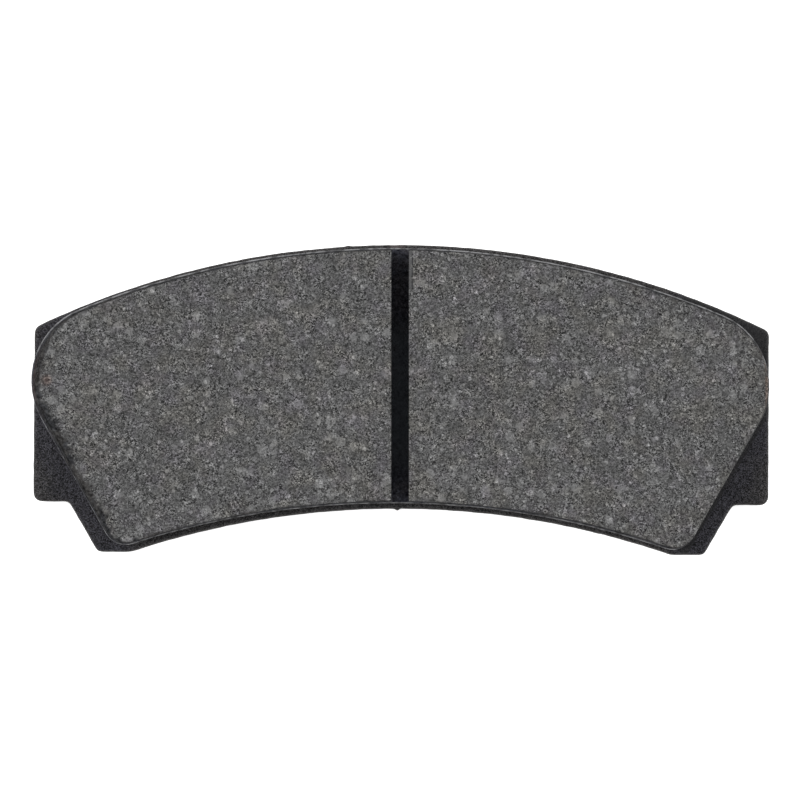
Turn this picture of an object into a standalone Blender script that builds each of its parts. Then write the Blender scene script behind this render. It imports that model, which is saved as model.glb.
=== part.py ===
"""Brake pad for a fixed caliper, lying on its back with the friction face up.

+X runs along the pad, +Y points to the outer rim of the disc, and +Z is the normal of the
friction face. The origin is the middle of the back face, and every length is in metres.

    backing_plate          steel plate that slides between the caliper's abutments
    adhesive_film          bond between the plate and the moulded block
    underlayer             base layer, moulded through the plate's keying holes
    friction_block_left    friction compound, one half on each side of the wiping slot
    friction_block_right
"""

from math import atan2, cos, pi, radians, sin, sqrt, tan

import bmesh
import bpy
from mathutils import Vector

# Backing plate
PLATE_WIDTH = 0.1466
PLATE_HEIGHT = 0.0616
PLATE_THICKNESS = 0.005
ARC_RADIUS = 0.1676  # both long edges of the plate curve at this radius
INNER_ARC_TOP = -0.0219  # the middle of the inner edge
EAR_LEDGE = -0.0208  # the flat under each ear, which hangs on the caliper
FOOT_CORNER = 0.0604  # half the width over the two feet
SLOPE = radians(30)  # the edge from ear to foot, measured from vertical
EAR_ROUND = 0.0016
FOOT_ROUND = 0.001
RIM_ROUND = 0.0006  # softens the stamped edges all the way round

# Moulded block, which is the underlayer and the friction compound, where it meets the plate
BLOCK_WIDTH = 0.1472
BLOCK_TOP = 0.03005  # the middle of its outer edge
BLOCK_BOTTOM = -0.02075  # the middle of its inner edge
SHOULDER_ROUND = 0.0152
LOWER_CORNER_ROUND = 0.0045
BLOCK_SHIFT = -0.00027  # the mould sits a little off the plate's middle
BLOCK_TWIST = radians(-0.2)

# Friction face, which the walls draw in to
FACE_WIDTH = 0.1442
FACE_TOP = 0.029
FACE_BOTTOM = -0.0204
FACE_ARC_RADIUS = 0.1655
FACE_SHOULDER_ROUND = 0.0148
FACE_SLOPE = radians(29.2)
FACE_SHIFT = 0.00035  # the left end wall leans in more than the right one

# Stack, from the back face up
PAD_THICKNESS = 0.0168
FILM_THICKNESS = 0.0004
UNDERLAYER_THICKNESS = 0.0017
TOUCH_GAP = 0.0003  # between pieces that touch
FILM_BOTTOM = PLATE_THICKNESS + TOUCH_GAP
UNDERLAYER_BOTTOM = FILM_BOTTOM + FILM_THICKNESS + TOUCH_GAP
UNDERLAYER_TOP = UNDERLAYER_BOTTOM + UNDERLAYER_THICKNESS
FRICTION_BOTTOM = UNDERLAYER_TOP + TOUCH_GAP

# Wiping slot, sawn right through the friction compound
SLOT_WIDTH = 0.00345
SLOT_LEAN = radians(0.3)

# Keying holes in the plate, and the plugs of base layer that fill them
HOLE_RADIUS = 0.0035
PLUG_RECESS = 0.0003  # how far the plugs stop short of the back face
HOLES_ON_ONE_SIDE = [(0.014, 0.0145), (0.034, -0.0055), (0.054, 0.0025)]

ARC_STEPS = 20  # segments in half of a long edge
SHOULDER_STEPS = 14
CORNER_STEPS = 6
HOLE_SIDES = 32
SMOOTH_BELOW = radians(35)


# ---------------------------------------------------------------- outlines


def arc(centre, radius, start, end, steps):
    """Points along an arc from one angle to another, both ends included."""
    angles = [start + (end - start) * i / steps for i in range(steps + 1)]
    return [(centre[0] + radius * cos(a), centre[1] + radius * sin(a)) for a in angles]


def fillet(before, corner, after, radius):
    """The arc that rounds the corner between two straight edges."""
    corner = Vector(corner)
    back = (Vector(before) - corner).normalized()
    onward = (Vector(after) - corner).normalized()
    half_angle = back.angle(onward) / 2
    centre = corner + (back + onward).normalized() * radius / sin(half_angle)
    tangent_length = radius / tan(half_angle)
    first = corner + back * tangent_length - centre
    last = corner + onward * tangent_length - centre
    start = atan2(first.y, first.x)
    turn = (atan2(last.y, last.x) - start + pi) % (2 * pi) - pi
    return arc(centre, radius, start, start + turn, CORNER_STEPS)


def both_sides(right_half):
    """The closed outline, counter-clockwise, from its right half listed from top to bottom."""
    left_half = [(-x, y) for x, y in right_half if x > 0]
    return right_half[::-1] + left_half


def plate_outline():
    half_width = PLATE_WIDTH / 2
    bottom = -PLATE_HEIGHT / 2
    outer_centre = (0, PLATE_HEIGHT / 2 - ARC_RADIUS)
    inner_centre = (0, INNER_ARC_TOP - ARC_RADIUS)
    outer_end = atan2(sqrt(ARC_RADIUS**2 - half_width**2), half_width)
    foot_inside = sqrt(ARC_RADIUS**2 - (bottom - inner_centre[1]) ** 2)
    inner_end = atan2(bottom - inner_centre[1], foot_inside)

    outer = arc(outer_centre, ARC_RADIUS, pi / 2, outer_end, ARC_STEPS)
    inner = arc(inner_centre, ARC_RADIUS, inner_end, pi / 2, ARC_STEPS)
    shoulder = outer.pop()
    ear = (half_width, EAR_LEDGE)
    ear_root = (FOOT_CORNER + (EAR_LEDGE - bottom) * tan(SLOPE), EAR_LEDGE)
    foot = (FOOT_CORNER, bottom)
    return both_sides(
        [(0, outer[0][1])]
        + outer[1:]
        + fillet(outer[-1], shoulder, ear, EAR_ROUND)
        + fillet(shoulder, ear, ear_root, EAR_ROUND)
        + fillet(ear, ear_root, foot, FOOT_ROUND)
        + fillet(ear_root, foot, inner[0], FOOT_ROUND)
        + inner[:-1]
        + [(0, inner[-1][1])]
    )


def block_outline(width, top, bottom, arc_radius, shoulder_round, slope):
    """One level of the moulded block, whose long edges run alongside arcs of the plate's kind."""
    outer_radius = arc_radius - (PLATE_HEIGHT / 2 - top)
    inner_radius = arc_radius + (bottom - INNER_ARC_TOP)
    outer_centre = Vector((0, top - outer_radius))
    inner_centre = Vector((0, bottom - inner_radius))

    # The shoulder touches the outer edge from inside, and the block's full width.
    shoulder_x = width / 2 - shoulder_round
    shoulder_rise = sqrt((outer_radius - shoulder_round) ** 2 - shoulder_x**2)
    shoulder = outer_centre + Vector((shoulder_x, shoulder_rise))
    shoulder_start = atan2(shoulder_rise, shoulder_x)

    # The end wall leaves the shoulder straight, along the slope.
    outward = Vector((cos(slope), -sin(slope)))
    down_wall = Vector((-sin(slope), -cos(slope)))
    # The lower corner's centre lies inside that wall, and clear of the inner edge.
    start = shoulder + outward * (shoulder_round - LOWER_CORNER_ROUND) - inner_centre
    along = start.dot(down_wall)
    reach = inner_radius + LOWER_CORNER_ROUND
    corner_offset = start + down_wall * (-along - sqrt(along**2 - start.dot(start) + reach**2))
    corner = inner_centre + corner_offset
    corner_end = atan2(-corner_offset.y, -corner_offset.x)
    inner_start = atan2(corner_offset.y, corner_offset.x)

    outer = arc(outer_centre, outer_radius, pi / 2, shoulder_start, ARC_STEPS)
    inner = arc(inner_centre, inner_radius, inner_start, pi / 2, ARC_STEPS)
    return both_sides(
        [(0, outer[0][1])]
        + outer[1:-1]
        + arc(shoulder, shoulder_round, shoulder_start, -slope, SHOULDER_STEPS)
        + arc(corner, LOWER_CORNER_ROUND, -slope, corner_end, CORNER_STEPS)
        + inner[1:-1]
        + [(0, inner[-1][1])]
    )


def block_ring(height):
    """The block's outline at a height above the back face."""
    share = (height - PLATE_THICKNESS) / (PAD_THICKNESS - PLATE_THICKNESS)
    at_plate = (BLOCK_WIDTH, BLOCK_TOP, BLOCK_BOTTOM, ARC_RADIUS, SHOULDER_ROUND, SLOPE)
    at_face = (FACE_WIDTH, FACE_TOP, FACE_BOTTOM, FACE_ARC_RADIUS, FACE_SHOULDER_ROUND, FACE_SLOPE)
    level = [low + (high - low) * share for low, high in zip(at_plate, at_face)]
    return [(x + FACE_SHIFT * share, y, height) for x, y in block_outline(*level)]


# ---------------------------------------------------------------- solids


def new_object(name, bm):
    mesh = bpy.data.meshes.new(name)
    bm.to_mesh(mesh)
    bm.free()
    obj = bpy.data.objects.new(name, mesh)
    bpy.context.scene.collection.objects.link(obj)
    return obj


def loft(name, lower_ring, upper_ring):
    """A closed solid between two rings that have the same number of points."""
    bm = bmesh.new()
    lower = [bm.verts.new(point) for point in lower_ring]
    upper = [bm.verts.new(point) for point in upper_ring]
    bm.faces.new(lower[::-1])
    bm.faces.new(upper)
    for i, j in zip(range(len(lower)), list(range(1, len(lower))) + [0]):
        bm.faces.new([lower[i], lower[j], upper[j], upper[i]])
    return new_object(name, bm)


def helper(obj):
    """Marks a shape that only cuts or extends other pieces."""
    obj.hide_render = True
    obj.display_type = "WIRE"
    return obj


def add_boolean(obj, operation, other):
    modifier = obj.modifiers.new(other.name, "BOOLEAN")
    modifier.operation = operation
    modifier.solver = "EXACT"
    modifier.object = other


def hole_cylinders(name, radius, bottom, top):
    """One cylinder on each keying hole, as one helper."""
    bm = bmesh.new()
    for x, y in HOLES_ON_ONE_SIDE:
        for side in (-1, 1):
            made = bmesh.ops.create_cone(
                bm,
                cap_ends=True,
                segments=HOLE_SIDES,
                radius1=radius,
                radius2=radius,
                depth=top - bottom,
            )
            place = Vector((side * x, y, (bottom + top) / 2))
            bmesh.ops.translate(bm, verts=made["verts"], vec=place)
    return helper(new_object(name, bm))


def slot_cutter(name, side):
    """Removes the slot and everything beyond it from one half of the friction compound."""
    bm = bmesh.new()
    bmesh.ops.create_cube(bm, size=1)
    reach = BLOCK_WIDTH
    size = Vector((reach + SLOT_WIDTH / 2, PLATE_HEIGHT * 2, PAD_THICKNESS * 2))
    bmesh.ops.scale(bm, verts=bm.verts, vec=size)
    middle = side * (SLOT_WIDTH / 2 - reach) / 2
    bmesh.ops.translate(bm, verts=bm.verts, vec=(middle, 0, FRICTION_BOTTOM))
    cutter = helper(new_object(name, bm))
    cutter.rotation_euler.z = SLOT_LEAN
    cutter.location.x = BLOCK_SHIFT
    return cutter


def shade_smooth(obj):
    obj.data.shade_smooth()
    obj.data.set_sharp_from_angle(angle=SMOOTH_BELOW)


def set_material(obj, name, color, roughness, metallic=0.0):
    material = bpy.data.materials.new(name)
    material.use_nodes = True
    shader = material.node_tree.nodes["Principled BSDF"]
    shader.inputs["Base Color"].default_value = (*color, 1)
    shader.inputs["Roughness"].default_value = roughness
    shader.inputs["Metallic"].default_value = metallic
    obj.data.materials.append(material)


# ---------------------------------------------------------------- pieces


def make_backing_plate(holes):
    outline = plate_outline()
    plate = loft(
        "backing_plate",
        [(x, y, 0) for x, y in outline],
        [(x, y, PLATE_THICKNESS) for x, y in outline],
    )
    rim = plate.modifiers.new("rim", "BEVEL")
    rim.width = RIM_ROUND
    rim.segments = 2
    rim.limit_method = "ANGLE"
    rim.angle_limit = radians(60)
    rim.use_clamp_overlap = False
    add_boolean(plate, "DIFFERENCE", holes)
    shade_smooth(plate)
    set_material(plate, "black_powder_coat", (0.035, 0.035, 0.038), 0.5)
    return plate


def make_adhesive_film(block, holes):
    film = loft(
        "adhesive_film", block_ring(FILM_BOTTOM), block_ring(FILM_BOTTOM + FILM_THICKNESS)
    )
    film.parent = block
    add_boolean(film, "DIFFERENCE", holes)
    shade_smooth(film)
    set_material(film, "cured_adhesive", (0.16, 0.155, 0.15), 0.6)
    return film


def make_underlayer(block, plugs):
    layer = loft("underlayer", block_ring(UNDERLAYER_BOTTOM), block_ring(UNDERLAYER_TOP))
    layer.parent = block
    add_boolean(layer, "UNION", plugs)
    shade_smooth(layer)
    set_material(layer, "base_layer", (0.05, 0.048, 0.045), 0.85)
    return layer


def make_friction_block(name, block, side):
    half = loft(name, block_ring(FRICTION_BOTTOM), block_ring(PAD_THICKNESS))
    half.parent = block
    add_boolean(half, "DIFFERENCE", slot_cutter(name + "_cutter", side))
    shade_smooth(half)
    set_material(half, name + "_compound", (0.11, 0.108, 0.107), 0.9)
    return half


def make_pad():
    for obj in list(bpy.data.objects):
        bpy.data.objects.remove(obj)

    block = bpy.data.objects.new("moulded_block", None)
    bpy.context.scene.collection.objects.link(block)
    block.location.x = BLOCK_SHIFT
    block.rotation_euler.z = BLOCK_TWIST

    past_faces = PLATE_THICKNESS
    holes = hole_cylinders(
        "keying_holes", HOLE_RADIUS, -past_faces, UNDERLAYER_BOTTOM + past_faces
    )
    plug_top = UNDERLAYER_BOTTOM + UNDERLAYER_THICKNESS / 2
    plugs = hole_cylinders(
        "keying_plugs", HOLE_RADIUS - TOUCH_GAP, PLUG_RECESS, plug_top
    )

    make_backing_plate(holes)
    make_adhesive_film(block, holes)
    make_underlayer(block, plugs)
    make_friction_block("friction_block_left", block, -1)
    make_friction_block("friction_block_right", block, 1)


make_pad()
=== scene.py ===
from math import cos, pi, radians, sin

import bpy
import numpy as np
from mathutils import Matrix, Vector


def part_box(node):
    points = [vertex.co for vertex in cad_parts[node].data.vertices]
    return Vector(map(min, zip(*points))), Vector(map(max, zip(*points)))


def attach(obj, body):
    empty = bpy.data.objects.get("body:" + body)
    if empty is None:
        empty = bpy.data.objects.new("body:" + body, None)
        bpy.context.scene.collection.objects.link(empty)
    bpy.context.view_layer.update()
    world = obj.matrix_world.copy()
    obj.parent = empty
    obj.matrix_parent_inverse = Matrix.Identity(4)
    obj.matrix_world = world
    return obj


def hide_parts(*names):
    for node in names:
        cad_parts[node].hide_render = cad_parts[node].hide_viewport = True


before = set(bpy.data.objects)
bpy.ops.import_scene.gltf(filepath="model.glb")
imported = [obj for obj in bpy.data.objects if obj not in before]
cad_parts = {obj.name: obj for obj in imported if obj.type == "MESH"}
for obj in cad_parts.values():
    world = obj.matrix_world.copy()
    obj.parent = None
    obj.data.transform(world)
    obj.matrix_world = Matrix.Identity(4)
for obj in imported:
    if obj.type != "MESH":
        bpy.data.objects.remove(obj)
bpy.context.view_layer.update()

# A brake pad on its back, seen square on to its friction face. The CAD's plate, underlayer and
# friction halves are rebuilt here with worn edges, from their own outlines and heights. Every
# length is in metres, in the CAD's frame: +X along the pad, +Y outward, +Z out of the face.
MM = 0.001
WHITE_ALBEDO = 0.62  # the albedo that shows as white in this studio's light

PLATE_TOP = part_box("backing_plate")[1].z
LAYER_BOTTOM, LAYER_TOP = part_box("adhesive_film")[1].z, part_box("underlayer")[1].z
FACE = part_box("friction_block_left")[1].z

# The marks on this pad.
SPRUE = (-0.7 * MM, -21.9 * MM)  # a nib left on the plate's inner edge
COAT_RUN = (-10.8 * MM, 30.4 * MM)  # a run of thick coat on its outer edge
SCUFF = (-1.1 * MM, 30.6 * MM, 4.8 * MM)  # a brownish rub above the slot
BARE_END = (72.9 * MM, 3.6 * MM, 16 * MM)  # where the right end's wall shows through its coat
RUSTY_END = (-73.6 * MM, 4.0 * MM, 9 * MM)  # a brown tinge at the left end
RUSTY_PIT = (-69.9 * MM, 3.0 * MM, FACE)  # a pit in the face near it

# Where the face's edge is worn further back: (x, y, spread, extra reach) in millimetres.
WEAR = (
    (-74, -1, 17, 1.6),
    (-68, -8, 9, 2.5),
    (-61, -21, 8, 2.1),
    (-57, -25, 14, 0.75),
    (-30, -24, 16, 0.35),
    (42, 24, 22, 0.6),
    (62, 17, 9, 0.5),
)

# The plate's rims, as rounded in the CAD and as rounded here, under their coat.
CAD_RIM = 0.6 * MM
PLATE_RIM = 0.8 * MM

# The plate's keying holes, which the base layer fills from above.
KEYS = [(side * x * MM, y * MM) for side in (-1, 1) for x, y in ((14, 14.5), (34, -5.5), (54, 2.5))]
KEY_RADIUS = 3.5 * MM
KEY_FLARE = 0.35 * MM  # how far their rims are rounded off
KEY_RECESS = 0.3 * MM  # how far the filling stops short of the plate's back

# The block's walls draw in above the bond, and its right flank's foot runs along a straight line.
FOOT_INSET = 0.14 * MM
FLANK_NORMAL = (0.8657, -0.5007)
FLANK_REACH = 64.17 * MM  # from the origin to that line

# How finely the rings of points go round each piece, and in from the face's edge to its middle.
PLATE_POINTS = 2400
BASE_POINTS = 1200
BEAD_POINTS = 1400
WALL_POINTS = 560
SLOT_POINTS = 150
RIM_STEPS = 6
FACE_SHARES = (0.01, 0.03, 0.07, 0.15, 0.3, 0.5, 0.7, 0.9)


# ---------------------------------------------------------------- noise and outlines


def lumps(points, size, seed):
    """Smooth noise from -1 to 1 at each point, with features of about the given size."""
    at = np.asarray(points, float) / size
    cell = np.floor(at).astype(np.int64)
    part = at - cell
    part = part * part * (3 - 2 * part)
    total = np.zeros(len(at))
    for corner in np.ndindex(2, 2, 2):
        # The corner's random value is an integer hash of its place in the grid.
        key = cell + corner
        mixed = key[:, 0] * 73856093 ^ key[:, 1] * 19349663 ^ key[:, 2] * 83492791
        mixed = (mixed + seed * 7919) * 2654435761 % 4294967296
        mixed = (mixed ^ (mixed >> 15)) * 2246822519 % 4294967296
        value = (mixed ^ (mixed >> 13)) % 65536 / 32767.5 - 1
        weight = np.prod(np.where(np.array(corner) == 1, part, 1 - part), axis=1)
        total += value * weight
    return total


def ring_of(node, height):
    """The CAD node's outline at one height, as (x, y) rows running counter-clockwise."""
    points = np.array([v.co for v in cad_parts[node].data.vertices])
    level = points[np.abs(points[:, 2] - height) < 0.01 * MM][:, :2]
    level = np.unique(np.round(level, 7), axis=0)
    middle = (level.min(0) + level.max(0)) / 2
    turn = np.arctan2(level[:, 1] - middle[1], level[:, 0] - middle[0])
    return level[np.argsort(turn)]


def along(points, count, closed=False):
    """The same line through evenly spaced points."""
    if closed:
        points = np.vstack([points, points[:1]])
    length = np.r_[0, np.cumsum(np.linalg.norm(np.diff(points, axis=0), axis=1))]
    where = np.linspace(0, length[-1], count, endpoint=not closed)
    return np.c_[[np.interp(where, length, points[:, axis]) for axis in (0, 1)]].T


def inward(ring):
    """The unit normals of a closed counter-clockwise ring, pointing in."""
    run = np.roll(ring, -1, axis=0) - np.roll(ring, 1, axis=0)
    normal = np.c_[-run[:, 1], run[:, 0]]
    return normal / np.linalg.norm(normal, axis=1)[:, None]


def smoothed(ring, passes):
    """A closed ring with each point drawn towards its neighbours, again in each pass."""
    for _ in range(passes):
        ring = (np.roll(ring, 1, axis=0) + 2 * ring + np.roll(ring, -1, axis=0)) / 4
    return ring


def nearest(ring, point):
    """The index of the ring's point nearest to the given one."""
    return int(np.argmin(np.linalg.norm(ring - point, axis=1)))


def at_height(ring, height):
    """A ring of (x, y) rows as (x, y, z) rows."""
    return np.c_[ring, np.full(len(ring), height)]


def circle(centre, radius, height, count=64):
    turn = np.linspace(0, 2 * pi, count, endpoint=False)
    ring = np.c_[centre[0] + radius * np.cos(turn), centre[1] + radius * np.sin(turn)]
    return at_height(ring, height)


def skin(name, rings, caps=True):
    """A mesh through rings of equally many points, closed with a flat cap at each end."""
    count = len(rings[0])
    around = np.arange(count)
    onward = np.roll(around, -1)
    faces = []
    for level in range(len(rings) - 1):
        low, high = level * count, (level + 1) * count
        faces += np.c_[around + low, onward + low, onward + high, around + high].tolist()
    if caps:
        faces.append(around[::-1].tolist())
        faces.append((around + count * (len(rings) - 1)).tolist())
    mesh = bpy.data.meshes.new(name)
    mesh.from_pydata(np.vstack(rings), [], faces)
    mesh.shade_smooth()
    obj = bpy.data.objects.new(name, mesh)
    bpy.context.scene.collection.objects.link(obj)
    return obj


# ---------------------------------------------------------------- materials


class Finish:
    """A Principled material whose colour, roughness and bump come from 3-D textures."""

    def __init__(self, name, roughness, specular):
        self.material = bpy.data.materials.new(name)
        self.material.use_nodes = True
        self.nodes = self.material.node_tree.nodes
        self.links = self.material.node_tree.links
        self.shader = self.nodes["Principled BSDF"]
        self.shader.inputs["Roughness"].default_value = roughness
        self.shader.inputs["Specular IOR Level"].default_value = specular
        self.place = self.nodes.new("ShaderNodeTexCoord").outputs["Object"]

    def feed(self, socket, value):
        """Links another node's output to a socket, or sets the socket to a plain value."""
        if isinstance(value, bpy.types.NodeSocket):
            self.links.new(value, socket)
        else:
            socket.default_value = value

    def part_of_place(self, axis):
        node = self.nodes.new("ShaderNodeSeparateXYZ")
        self.links.new(self.place, node.inputs["Vector"])
        return node.outputs[axis]

    def distance_to(self, point):
        node = self.nodes.new("ShaderNodeVectorMath")
        node.operation = "DISTANCE"
        self.links.new(self.place, node.inputs[0])
        node.inputs[1].default_value = point
        return node.outputs["Value"]

    def stretched(self, factors=(1, 1, 1), turn=0.0):
        """The coordinates, turned about Z and then scaled."""
        turned = self.nodes.new("ShaderNodeMapping")
        turned.inputs["Rotation"].default_value[2] = turn
        self.feed(turned.inputs["Vector"], self.place)
        scaled = self.nodes.new("ShaderNodeVectorMath")
        scaled.operation = "MULTIPLY"
        self.feed(scaled.inputs[0], turned.outputs["Vector"])
        scaled.inputs[1].default_value = factors
        return scaled.outputs["Vector"]

    def warped(self, amount, size):
        """The coordinates, pushed about at random by up to half the amount."""
        node = self.nodes.new("ShaderNodeTexNoise")
        self.feed(node.inputs["Vector"], self.place)
        node.inputs["Scale"].default_value = 1 / size
        node.inputs["Detail"].default_value = 1
        push = self.nodes.new("ShaderNodeVectorMath")
        push.operation = "MULTIPLY_ADD"
        self.links.new(node.outputs["Color"], push.inputs[0])
        push.inputs[1].default_value = (amount, amount, amount)
        self.feed(push.inputs[2], self.place)
        return push.outputs["Vector"]

    def noise(self, size, detail=2.0, roughness=0.55, vector=None):
        """Cloudy values about 0.5, with features of the given size."""
        node = self.nodes.new("ShaderNodeTexNoise")
        self.feed(node.inputs["Vector"], vector or self.place)
        node.inputs["Scale"].default_value = 1 / size
        node.inputs["Detail"].default_value = detail
        node.inputs["Roughness"].default_value = roughness
        return node.outputs["Fac"]

    def cells(self, size, vector=None):
        """Grains of the given size: (distance from each grain's middle, its random value)."""
        node = self.nodes.new("ShaderNodeTexVoronoi")
        self.feed(node.inputs["Vector"], vector or self.place)
        node.inputs["Scale"].default_value = 1 / size
        parts = self.nodes.new("ShaderNodeSeparateColor")
        self.links.new(node.outputs["Color"], parts.inputs["Color"])
        return node.outputs["Distance"], parts.outputs["Red"]

    def picked(self, size, vector, values, distances):
        """1 in the middle of a few grains of the given size, and 0 elsewhere.

        A grain is picked as its random value goes through the two values, and it ends as the
        distance from its middle goes through the two distances.
        """
        distance, value = self.cells(size, vector)
        return self.product(self.ramp(value, *values), self.ramp(distance, *distances))

    def math(self, operation, a, b=0.0):
        node = self.nodes.new("ShaderNodeMath")
        node.operation = operation
        self.feed(node.inputs[0], a)
        self.feed(node.inputs[1], b)
        return node.outputs["Value"]

    def product(self, value, *factors):
        for factor in factors:
            value = self.math("MULTIPLY", value, factor)
        return value

    def total(self, base, *parts, middle=0.5):
        """The base plus each (amount, value), where a value at the middle adds nothing."""
        for amount, value in parts:
            node = self.nodes.new("ShaderNodeMath")
            node.operation = "MULTIPLY_ADD"
            self.feed(node.inputs[0], value)
            node.inputs[1].default_value = amount
            self.feed(node.inputs[2], base)
            base = self.math("SUBTRACT", node.outputs["Value"], amount * middle)
        return base

    def ramp(self, value, low, high, to_low=0.0, to_high=1.0):
        """Goes smoothly from to_low to to_high as the value goes from low to high."""
        node = self.nodes.new("ShaderNodeMapRange")
        node.interpolation_type = "SMOOTHSTEP"
        self.feed(node.inputs["Value"], value)
        node.inputs["From Min"].default_value = low
        node.inputs["From Max"].default_value = high
        node.inputs["To Min"].default_value = to_low
        node.inputs["To Max"].default_value = to_high
        return node.outputs["Result"]

    def mix(self, share, a, b, blend="MIX"):
        """The colour a where share is 0, and b (or a blended with b) where share is 1."""
        node = self.nodes.new("ShaderNodeMix")
        node.data_type = "RGBA"
        node.blend_type = blend
        self.feed(node.inputs["Factor"], share)
        for socket, color in ((node.inputs["A"], a), (node.inputs["B"], b)):
            self.feed(socket, color if isinstance(color, bpy.types.NodeSocket) else (*color, 1))
        return node.outputs["Result"]

    def tinted(self, color, tint, share=1.0):
        """The colour, multiplied by the tint where share is 1."""
        return self.mix(share, color, tint, "MULTIPLY")

    def grey(self, value):
        """A value as a colour."""
        node = self.nodes.new("ShaderNodeCombineColor")
        for channel in ("Red", "Green", "Blue"):
            self.feed(node.inputs[channel], value)
        return node.outputs["Color"]

    def albedo(self, tone):
        """A screen tone from 0 to 1 as the grey that shows as that tone under this light."""
        return self.grey(self.product(self.math("POWER", tone, 2.2), WHITE_ALBEDO))

    def set_color(self, color):
        self.feed(self.shader.inputs["Base Color"], color)

    def set_specular(self, level):
        self.feed(self.shader.inputs["Specular IOR Level"], level)

    def set_roughness(self, value):
        self.feed(self.shader.inputs["Roughness"], value)

    def set_bump(self, height, depth):
        """Height from 0 to 1 raises the surface by up to depth."""
        node = self.nodes.new("ShaderNodeBump")
        node.inputs["Distance"].default_value = depth
        self.feed(node.inputs["Height"], height)
        self.links.new(node.outputs["Normal"], self.shader.inputs["Normal"])


def powder_coat():
    """Black powder coat on the plate, finely speckled."""
    finish = Finish("black_powder_coat", 0.55, 0.2)
    across, up, height = [finish.part_of_place(axis) for axis in "XYZ"]
    _, speck = finish.cells(0.16 * MM)
    cloud = finish.noise(6 * MM, detail=3)
    tone = finish.total(0.18, (0.27, speck), (0.04, cloud))
    color = finish.albedo(finish.math("MAXIMUM", tone, 0.03))

    # Painted shade: the ears are bluer and darker towards the block than at their ends.
    aside = finish.math("ABSOLUTE", across)
    outer = finish.total(aside, (0.5, finish.math("ABSOLUTE", up)), middle=0)
    outer = finish.total(outer, (8 * MM, finish.noise(5 * MM, detail=3)), (9 * MM, finish.noise(0.7 * MM)))
    blue_and_shade = finish.product(finish.ramp(outer, 83 * MM, 74 * MM), finish.ramp(aside, 52 * MM, 56 * MM))
    color = finish.tinted(color, finish.mix(blue_and_shade, (1.1, 1.03, 1.06), (0.85, 0.83, 1.08)))

    # Painted shadow: a near-black line darkens the coat along the foot of the right flank.
    gap = finish.total(-FLANK_REACH, (FLANK_NORMAL[0], across), (FLANK_NORMAL[1], up), middle=0)
    flank_shadow = finish.product(finish.ramp(gap, 0.85 * MM, 0.4 * MM), finish.ramp(across, 54 * MM, 57 * MM))
    color = finish.mix(flank_shadow, color, (0.009, 0.009, 0.010))

    # Painted highlight: the plate's edges are lighter below its top. One place on the outer edge is rubbed
    # brown.
    edge = finish.ramp(height, PLATE_TOP - 0.04 * MM, PLATE_TOP - 0.4 * MM, 0, 0.8)
    color = finish.mix(edge, color, (0.026, 0.024, 0.023))
    scuff = finish.ramp(finish.distance_to(SCUFF), 2.0 * MM, 0.8 * MM, 0, 0.8)
    finish.set_color(finish.mix(scuff, color, (0.052, 0.042, 0.042)))

    grit = finish.noise(0.3 * MM, detail=3, roughness=0.6)
    finish.set_specular(finish.total(0.2, (0.3, speck)))
    finish.set_roughness(finish.ramp(grit, 0.3, 0.7, 0.42, 0.68))
    finish.set_bump(grit, 0.12 * MM)
    return finish.material


def coat_on_walls(finish):
    """The thin black coat over the moulded walls: matt, with draw marks that run up them."""
    draw = finish.noise(0.9 * MM, detail=3, roughness=0.6, vector=finish.stretched((1, 1, 0.1)))
    blotch = finish.noise(3 * MM, detail=3)
    _, grain = finish.cells(0.3 * MM)
    tone = finish.total(0.235, (0.36, draw), (0.16, blotch), (0.12, grain))
    color = finish.albedo(finish.math("MAXIMUM", tone, 0.06))
    tint = finish.mix(finish.ramp(blotch, 0.4, 0.6), (0.98, 1.0, 1.06), (1.04, 1.0, 0.98))
    return finish.tinted(color, tint)


def ground_grains(finish):
    """The ground face's tone, from every kind of grain in it, and its surface's height."""
    bent = finish.warped(0.5 * MM, 0.35 * MM)
    fine_distance, fine = finish.cells(0.2 * MM, bent)
    _, grain = finish.cells(0.42 * MM, bent)
    _, lump = finish.cells(1.1 * MM, bent)
    cloud = finish.noise(2 * MM, detail=3, roughness=0.6)
    broad = finish.noise(12 * MM, detail=3)

    # Pale flakes, in which the finest grains show less.
    flake = finish.picked(2.2 * MM, finish.warped(1.2 * MM, 0.7 * MM), (0.74, 0.86), (0.47, 0.38))
    contrast = finish.ramp(finish.noise(2.4 * MM, detail=2), 0.35, 0.65, 0.5, 1.15)
    contrast = finish.math("SUBTRACT", contrast, finish.product(flake, 0.3))
    fine = finish.product(finish.math("SUBTRACT", fine, 0.5), contrast)
    tone = finish.total(0.368, (0.44, fine), middle=0)
    tone = finish.total(tone, (0.08, grain), (0.03, lump), (0.06, cloud), (0.06, broad))
    tone = finish.total(tone, (0.115, flake), middle=0.1)

    # Pale chips, and crumbs, which crowd together in places.
    chip = finish.picked(1.0 * MM, finish.stretched(turn=1.3), (0.84, 0.9), (0.44, 0.34))
    tone = finish.total(tone, (0.14, chip), middle=0.06)
    crumb = finish.picked(0.55 * MM, finish.stretched(turn=0.7), (0.82, 0.92), (0.42, 0.2))
    crowd = finish.ramp(finish.noise(3.5 * MM, detail=2), 0.45, 0.7, 0.25, 1.2)
    crumb = finish.product(crumb, crowd, finish.ramp(flake, 0, 0.6, 1, 0.3))
    tone = finish.total(tone, (0.22, crumb), middle=0.05)

    # Short pale fibres, which lie in five directions, and dark pores.
    for turn in (0.2, 0.9, 1.6, 2.2, 2.9):
        vector = finish.stretched((1, 0.22, 1), turn)
        fibre = finish.picked(0.8 * MM, vector, (0.88, 0.95), (0.17, 0.08))
        tone = finish.total(tone, (0.17, fibre), middle=0.003)
    pore = finish.picked(0.7 * MM, finish.stretched(turn=2.1), (0.86, 0.92), (0.45, 0.25))
    tone = finish.total(tone, (-0.08, pore), middle=0.05)
    height = finish.total(0.5, (0.5, fine_distance), (-0.5, pore), (0.4, cloud))
    return finish.math("MAXIMUM", tone, 0.08), height


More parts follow.
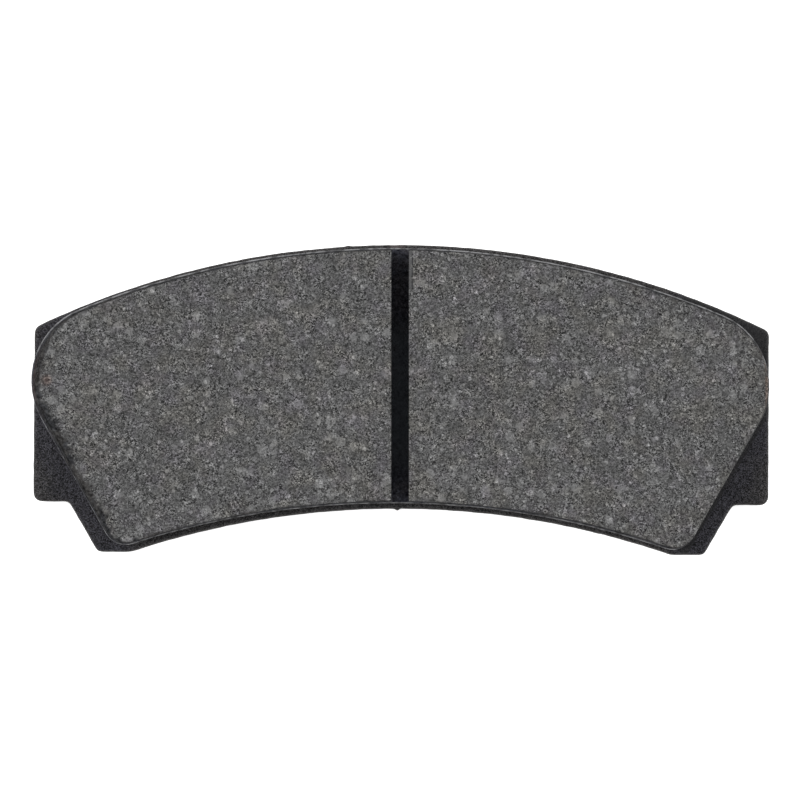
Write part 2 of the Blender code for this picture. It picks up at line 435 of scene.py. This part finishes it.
def with_rubbed_strip(finish, color):
    """Adds a strip rubbed smooth beside the slot, at the outer end of the right half."""
    across, up = finish.part_of_place("X"), finish.part_of_place("Y")
    strip = finish.product(
        finish.ramp(across, 2.25 * MM, 2.1 * MM),
        finish.ramp(across, 0, MM),
        finish.ramp(up, 21 * MM, 22 * MM, 0, 0.85),
        finish.ramp(finish.noise(0.8 * MM), 0.35, 0.55, 0.4, 1),
    )
    # It ends in a darker line on the side away from the slot.
    line = finish.ramp(across, 1.82 * MM, 1.92 * MM)
    return finish.mix(strip, color, finish.mix(line, (0.06, 0.06, 0.062), (0.016, 0.016, 0.018)))


def with_rusty_pit(finish, color):
    """Adds a small dark pit near the left end, with rust round it."""
    gap = finish.distance_to(RUSTY_PIT)
    color = finish.tinted(color, (1.16, 0.96, 0.88), finish.ramp(gap, 1.6 * MM, 0.5 * MM))
    return finish.mix(finish.ramp(gap, 0.45 * MM, 0.2 * MM, 0, 0.8), color, (0.03, 0.02, 0.018))


def compound():
    """Ground friction compound on the face, under a black coat on the walls."""
    finish = Finish("friction_compound", 0.9, 0.2)
    across, depth = finish.part_of_place("X"), finish.part_of_place("Z")

    tone, height = ground_grains(finish)
    warm = finish.ramp(finish.noise(5 * MM, detail=3), 0.42, 0.68)
    cool = finish.ramp(finish.noise(4 * MM, detail=3, vector=finish.stretched(turn=1.0)), 0.45, 0.7)
    face = finish.tinted(finish.albedo(tone), (1.045, 1.02, 0.965), warm)
    face = finish.tinted(face, (1.005, 0.975, 1.035), cool)
    face = with_rusty_pit(finish, with_rubbed_strip(finish, face))

    # In patches, the coat is worn thin at the right end and is brown at the left one.
    wall = coat_on_walls(finish)
    patchy = finish.ramp(finish.noise(1.5 * MM, detail=3, vector=finish.stretched((1, 1, 0.3))), 0.3, 0.6)
    bare = finish.product(finish.ramp(finish.distance_to(BARE_END), 9 * MM, 5 * MM), patchy)
    rusty = finish.product(finish.ramp(finish.distance_to(RUSTY_END), 9 * MM, 3 * MM), patchy)
    wall = finish.tinted(wall, (3.4, 2.8, 2.4), bare)
    wall = finish.tinted(wall, (1.25, 1.06, 1.03), rusty)
    stain = finish.product(finish.ramp(bare, 0, 0.5), finish.ramp(across, 71.3 * MM, 71.8 * MM))
    face = finish.tinted(face, (1.16, 0.95, 0.85), stain)

    # The ground face fades raggedly into the coat round its worn edge.
    ragged = finish.math("SUBTRACT", finish.noise(1.1 * MM, detail=4), 0.5)
    ragged = finish.product(ragged, finish.ramp(depth, FACE, FACE - 0.08 * MM, 0, 0.8 * MM))
    ground = finish.ramp(finish.math("ADD", depth, ragged), FACE - 0.36 * MM, FACE)
    finish.set_color(finish.mix(ground, wall, face))
    finish.set_specular(finish.product(ground, 0.2))
    finish.set_bump(height, 0.06 * MM)
    return finish.material


def base_layer():
    """The base mix under its coat, with pale dust along the floor of the slot."""
    finish = Finish("base_layer", 0.9, 0.0)
    across, up = finish.part_of_place("X"), finish.part_of_place("Y")
    dust = finish.product(
        finish.ramp(finish.math("ABSOLUTE", across), 2.5 * MM, 1.9 * MM),
        finish.ramp(finish.math("ABSOLUTE", up), 18 * MM, 10 * MM),
        finish.ramp(finish.noise(1.2 * MM, detail=3), 0.3, 0.7, 0.4, 1),
    )
    # It is paler at the slot's inner mouth.
    paler = finish.grey(finish.ramp(up, -18.5 * MM, -21 * MM, 1.2, 1.7))
    coat = finish.tinted(coat_on_walls(finish), paler)
    coat = finish.tinted(coat, (0.96, 0.97, 1.12))
    finish.set_color(finish.mix(dust, coat, (0.058, 0.064, 0.072)))
    finish.set_bump(finish.noise(0.5 * MM, detail=3), 0.08 * MM)
    return finish.material


def adhesive():
    """Pale in ragged patches, as a painted highlight along the bead, and dark elsewhere."""
    finish = Finish("cured_adhesive", 0.55, 0.3)
    across, up = finish.part_of_place("X"), finish.part_of_place("Y")
    # Painted shade: the bead is dark along the right flank, and a little darker along the left one.
    left_flank = finish.ramp(across, -54 * MM, -60 * MM, 0, 0.09)
    right_flank = finish.ramp(across, 54 * MM, 58 * MM)
    left = finish.product(finish.ramp(up, -1 * MM, -9 * MM), left_flank)
    right = finish.product(finish.ramp(up, 3 * MM, -2 * MM), right_flank)
    pale_highlight = finish.math("SUBTRACT", finish.noise(1.8 * MM, detail=4), finish.math("ADD", left, right))
    pale_highlight = finish.ramp(pale_highlight, 0.37, 0.61)
    finish.set_color(finish.mix(pale_highlight, (0.05, 0.05, 0.052), (0.22, 0.22, 0.225)))
    finish.set_bump(finish.noise(0.3 * MM), 0.05 * MM)
    return finish.material


def light_table():
    """The pale floor, lit a little from below, so that it stays white beside the pad."""
    finish = Finish("light_table", 0.9, 0.2)
    cloud = finish.noise(0.3, detail=2)
    finish.set_color(finish.mix(cloud, (0.90, 0.90, 0.90), (0.93, 0.93, 0.93)))
    finish.shader.inputs["Emission Color"].default_value = (1, 1, 1, 1)
    finish.shader.inputs["Emission Strength"].default_value = 0.6
    return finish.material


# ---------------------------------------------------------------- pieces


def place(obj, material, slot, *nodes):
    """Hands a finished piece to the frame, in place of the CAD nodes named, if any."""
    obj.data.materials.append(material)
    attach(obj, "root")
    if nodes:
        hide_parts(*nodes)


def rounded_rings(ring, bottom, top, radius, out):
    """The wall of a flat plate, rounded at both rims and standing out by out between them."""
    normal = inward(ring)
    lower, upper = [], []
    for step in range(RIM_STEPS + 1):
        lean = pi / 2 * step / RIM_STEPS
        reach = radius * (1 - sin(lean)) - out * sin(lean)
        rise = radius * (1 - cos(lean))
        level = ring + normal * reach[:, None]
        lower.append(at_height(level, bottom + rise))
        upper.append(at_height(level, top - rise))
    return lower + upper[::-1]


def bump_at(ring, point, height, reach):
    """How far each point of a ring stands out, on a small bump near the given point."""
    gap = np.linalg.norm(ring - point, axis=1)
    return height * np.exp(-((gap / reach) ** 2))


def key_cutter(centre, bottom, top):
    """A pin that cuts one keying hole and rounds off its rims."""
    profile = (
        (bottom - KEY_FLARE, 2 * KEY_FLARE),
        (bottom + KEY_FLARE, 0),
        (top - KEY_FLARE, 0),
        (top + KEY_FLARE, 2 * KEY_FLARE),
    )
    return skin("cutter", [circle(centre, KEY_RADIUS + wider, height) for height, wider in profile])


def bore(obj, cutters):
    """Cuts the cutters out of a mesh, and deletes them."""
    for cutter in cutters:
        cut = obj.modifiers.new("bore", "BOOLEAN")
        cut.operation = "DIFFERENCE"
        cut.solver = "EXACT"
        cut.object = cutter
    bpy.context.view_layer.update()
    drilled = obj.evaluated_get(bpy.context.evaluated_depsgraph_get())
    mesh = bpy.data.meshes.new_from_object(drilled)
    obj.modifiers.clear()
    obj.data = mesh
    for cutter in cutters:
        bpy.data.objects.remove(cutter)


def make_plate(material):
    low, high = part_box("backing_plate")
    ring = along(ring_of("backing_plate", low.z + CAD_RIM), PLATE_POINTS, closed=True)
    ring = smoothed(ring, passes=12)
    out = 0.04 * MM * lumps(at_height(ring, 0), 1.5 * MM, seed=21)
    out += bump_at(ring, SPRUE, height=0.35 * MM, reach=0.45 * MM)
    out += bump_at(ring, COAT_RUN, height=0.15 * MM, reach=0.5 * MM)
    plate = skin("plate", rounded_rings(ring, low.z, high.z, PLATE_RIM, out))
    bore(plate, [key_cutter(key, low.z, high.z) for key in KEYS])
    plate.data.set_sharp_from_angle(angle=radians(35))
    place(plate, material, "backing_plate", "backing_plate")


def spaced_half(ring, slot_side):
    """A friction half's outline through evenly spaced points, closer together along the slot."""
    # The slot's two corners are the innermost points, and split the ring in two.
    corners = ring[np.argsort(slot_side * ring[:, 0])[-2:]]
    low_corner, high_corner = corners[np.argsort(corners[:, 1])]
    ring = np.roll(ring, -nearest(ring, low_corner), axis=0)
    split = nearest(ring, high_corner)
    counts = (SLOT_POINTS, WALL_POINTS) if split == 1 else (WALL_POINTS, SLOT_POINTS)
    first = along(ring[: split + 1], counts[0])
    second = along(np.vstack([ring[split:], ring[:1]]), counts[1])
    return np.vstack([first[:-1], second[:-1]])


def above_foot(ring, share):
    """Draws a block outline in above the bond, so that the film's edge shows all round."""
    across, up = ring[:, 0] / MM, ring[:, 1] / MM
    flank = np.clip((np.abs(across) - 50) / 6, 0, 1) * np.clip((10 - up) / 10, 0, 1)
    inside_slot = (np.abs(across) < 2.2) & (np.abs(up) < 19)
    inset = FOOT_INSET * (1 - share) * (1 - 0.5 * flank) * ~inside_slot
    return ring + inward(ring) * inset[:, None]


def wall_rings(bottom, top, low, high):
    """Slightly lumpy rings up a half's leaning wall, from just inside the base layer."""
    start = (LAYER_TOP - 0.05 * MM - low) / (high - low)
    rings = []
    for share in np.linspace(start, 0.9, 10):
        outline = above_foot(bottom + (top - bottom) * share, share)
        ring = at_height(outline, low + (high - low) * share)
        dent = lumps(ring, 1.3 * MM, seed=5) * 0.05 * MM + lumps(ring, 4 * MM, seed=6) * 0.06 * MM
        ring[:, :2] += inward(outline) * dent[:, None]
        rings.append(ring)
    return rings


def edge_wear(rim):
    """How far in and how far down the face's edge is rounded, at each point of its outline."""
    extra = np.zeros(len(rim))
    for x, y, spread, amount in WEAR:
        gap = np.linalg.norm(rim[:, :2] / MM - (x, y), axis=1)
        extra = np.maximum(extra, amount * np.exp(-((gap / spread) ** 4)))
    uneven = 1 + 0.3 * lumps(rim, 5 * MM, seed=7) + 0.25 * lumps(rim, 1.2 * MM, seed=8)
    # The edge stays crisp beside the slot and along the right flank.
    across, up = rim[:, 0] / MM, rim[:, 1] / MM
    clear_of_slot = np.clip(np.abs(across) - 2.2, 0, 1)
    right_flank = np.clip((across - 50) / 8, 0, 1) * np.clip((4 - up) / 6, 0, 1)
    soft = clear_of_slot * (1 - 0.8 * right_flank)
    reach = (0.12 + 0.38 * soft + extra) * MM * uneven
    drop = (0.12 + 0.16 * soft + 0.3 * extra) * MM * uneven
    return reach, drop


def rim_rings(top, high):
    """Rings that round a half's wall over into its face, as far as the edge is worn."""
    normal = inward(smoothed(top, passes=4))
    rim = at_height(top, high)
    reach, drop = edge_wear(rim)
    rings = []
    for step in range(RIM_STEPS + 1):
        lean = pi / 2 * step / RIM_STEPS
        ring = rim.copy()
        ring[:, :2] += normal * (reach * (1 - cos(lean)))[:, None]
        ring[:, 2] -= drop * (1 - sin(lean))
        rings.append(ring)
    return rings


def make_friction_half(name, node, slot_side, material):
    low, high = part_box(node)
    bottom, top = [spaced_half(ring_of(node, height), slot_side) for height in (low.z, high.z)]
    rings = wall_rings(bottom, top, low.z, high.z) + rim_rings(top, high.z)
    edge = rings[-1]
    middle = edge.mean(0)
    rings += [edge + (middle - edge) * share for share in FACE_SHARES]
    place(skin(name, rings), material, "friction_compound", node)


def block_foot():
    """The block's outline at the bond, point for point like the top of the underlayer."""
    above = ring_of("underlayer", LAYER_TOP)
    level = ring_of("adhesive_film", LAYER_BOTTOM)  # with the rims of the keying holes
    return np.array([level[nearest(level, point)] for point in above])


def make_base_layer(material):
    """From the bond up to the compound, along the walls' lean, and down into the keying holes."""
    low, high = block_foot(), ring_of("underlayer", LAYER_TOP)
    levels = []
    for share in np.linspace(0, 1, 6):
        ring = above_foot(along(low + (high - low) * share, BASE_POINTS, closed=True), 0)
        levels.append(at_height(ring, LAYER_BOTTOM + (LAYER_TOP - LAYER_BOTTOM) * share))
    layer = skin("base_layer", levels)
    profile = (
        (KEY_RECESS, 0.35 * MM),
        (KEY_RECESS + 0.1 * MM, 0.12 * MM),
        (KEY_RECESS + 0.35 * MM, 0.03 * MM),
        (LAYER_BOTTOM + 0.05 * MM, 0.03 * MM),
    )
    keys = []
    for key in KEYS:
        keys.append(skin("key", [circle(key, KEY_RADIUS - less, height) for height, less in profile]))
    with bpy.context.temp_override(active_object=layer, selected_editable_objects=[layer, *keys]):
        bpy.ops.object.join()
    place(layer, material, "underlayer", "underlayer")


def dress_film(material):
    """The adhesive film keeps its CAD shape, and the bead lies round its edge."""
    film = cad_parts["adhesive_film"]
    film.data.materials.clear()
    film.data.materials.append(material)


def make_bond_bead(material):
    """The adhesive squeezed out all round the block, as a thin ragged bead."""
    ring = along(block_foot(), BEAD_POINTS, closed=True)
    normal = inward(ring)
    outer = np.clip((ring[:, 1] / MM - 8) / 6, 0, 1)
    reach = (0.06 + 0.05 * outer + 0.04 * lumps(at_height(ring, 0), 2.5 * MM, seed=11)) * MM
    levels = []
    for lean in np.linspace(0, 2 * pi, 8, endpoint=False):
        level = ring - normal * (reach * cos(lean))[:, None]
        levels.append(at_height(level, PLATE_TOP + 0.35 * MM * (1 + sin(lean))))
    bead = skin("bond_bead", levels + levels[:1], caps=False)
    place(bead, material, "adhesive_film")


make_plate(powder_coat())
friction = compound()
make_friction_half("compound_left", "friction_block_left", 1, friction)
make_friction_half("compound_right", "friction_block_right", -1, friction)
make_base_layer(base_layer())
glue = adhesive()
dress_film(glue)
make_bond_bead(glue)


# ---------------------------------------------------------------- stage


def make_floor():
    mesh = bpy.data.meshes.new("floor")
    reach = 3.0
    corners = [(-reach, -reach, 0), (reach, -reach, 0), (reach, reach, 0), (-reach, reach, 0)]
    mesh.from_pydata(corners, [], [(0, 1, 2, 3)])
    floor = bpy.data.objects.new("floor", mesh)
    bpy.context.scene.collection.objects.link(floor)
    floor.location.z = -0.02 * MM
    floor.data.materials.append(light_table())


def add_softbox(name, position, size, power):
    """A square light that faces the pad."""
    light = bpy.data.lights.new(name, "AREA")
    light.shape = "SQUARE"
    light.size = size
    light.energy = power
    box = bpy.data.objects.new(name, light)
    box.location = position
    box.rotation_euler = (-Vector(position)).to_track_quat("-Z", "Y").to_euler()
    bpy.context.scene.collection.objects.link(box)


def light_studio():
    world = bpy.data.worlds.new("studio")
    world.use_nodes = True
    sky = world.node_tree.nodes["Background"]
    sky.inputs["Color"].default_value = (1, 1, 1, 1)
    sky.inputs["Strength"].default_value = 0.75
    bpy.context.scene.world = world
    add_softbox("left_softbox", (-0.9, 0.25, 1.0), size=0.9, power=13)
    add_softbox("right_softbox", (0.9, 0.25, 1.0), size=0.9, power=9)
    bpy.context.scene.view_settings.view_transform = "Standard"


def make_camera():
    """Straight down on the face, from a little below the pad's middle."""
    distance = 0.9
    width_seen = 0.1595
    tilt, roll = radians(1.5), radians(-0.31)
    target = Vector((-0.28 * MM, -0.21 * MM, PLATE_TOP))
    data = bpy.data.cameras.new("camera")
    data.lens = 200
    data.sensor_width = data.lens * width_seen / distance
    camera = bpy.data.objects.new("camera", data)
    turn = Matrix.Rotation(tilt, 4, "X") @ Matrix.Rotation(-roll, 4, "Z")
    camera.matrix_world = Matrix.Translation(target) @ turn @ Matrix.Translation((0, 0, distance))
    bpy.context.scene.collection.objects.link(camera)
    bpy.context.scene.camera = camera


make_floor()
light_studio()
make_camera()
